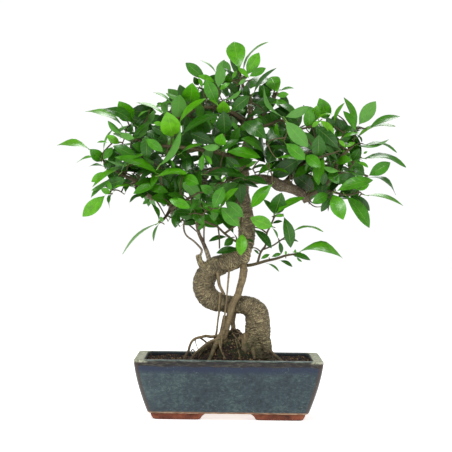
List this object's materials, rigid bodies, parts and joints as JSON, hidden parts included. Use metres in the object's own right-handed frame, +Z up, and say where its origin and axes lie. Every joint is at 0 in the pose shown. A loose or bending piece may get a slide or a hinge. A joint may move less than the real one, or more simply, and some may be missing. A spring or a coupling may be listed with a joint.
{
  "type": "bonsai tree in a pot",
  "caption": "Trained miniature fig tree with an S-curved trunk, prop roots and open leafy boughs, rooted in a shallow rectangular glazed pot on low corner feet.",
  "frame": {"origin": "on the surface that the feet stand on, below the middle of the whole tree and pot", "axes": "+Z up; +X to the right and -Y towards the viewer, as the tree's front is seen"},
  "size_m": [0.454, 0.1872, 0.487],
  "materials": {
    "bark": "grey-tan fig bark, darker in the creases and greener where it is shaded",
    "root": "tan-brown aerial and surface roots",
    "leaf": "glossy green leaves, paler underneath",
    "glaze": "mottled slate-blue glaze, pale where it breaks over the edges",
    "foot_clay": "unglazed red-brown clay",
    "drain_mesh": "black plastic mesh",
    "clip_wire": "plain wire",
    "grit": "coarse volcanic grit",
    "soil": "dark brown granular soil with tan and orange grains"
  },
  "bodies": {
    "root": {"trunk": "bark", "root_mass": "root", "root_back": "root", "prop_root": "root", "prop_root_companion": "root", "aerial_root_front": "root", "aerial_root_inner": "root", "aerial_root_left": "root", "root_tan": "root", "surface_root_arched": "root", "surface_root_low": "root", "surface_root_right": "root", "surface_root_rear": "root", "branch_right": "bark", "branch_left": "bark", "riser": "bark", "riser_curly": "bark", "leafy_bough_crown_top": "leaf", "leafy_bough_crown_right": "leaf", "leafy_bough_crown_left": "leaf", "leafy_bough_left_upper": "leaf", "leafy_bough_left_outer": "leaf", "leafy_bough_left_lower": "leaf", "leafy_bough_middle_low": "leaf", "leafy_bough_middle_front": "leaf", "leafy_bough_right_upper": "leaf", "leafy_bough_right_outer": "leaf", "leafy_bough_right_low": "leaf", "leafy_bough_right_inner": "leaf", "leafy_bough_crown_back": "leaf", "leafy_bough_left_back": "leaf", "leafy_bough_middle_back": "leaf", "leafy_bough_right_back": "leaf", "pot": "glaze", "foot_front_left": "foot_clay", "foot_back_left": "foot_clay", "foot_front_right": "foot_clay", "foot_back_right": "foot_clay", "drain_mesh_left": "drain_mesh", "drain_mesh_right": "drain_mesh", "mesh_clip_left": "clip_wire", "mesh_clip_right": "clip_wire", "drainage_grit": "grit", "soil": "soil"}
  },
  "joints": []
}
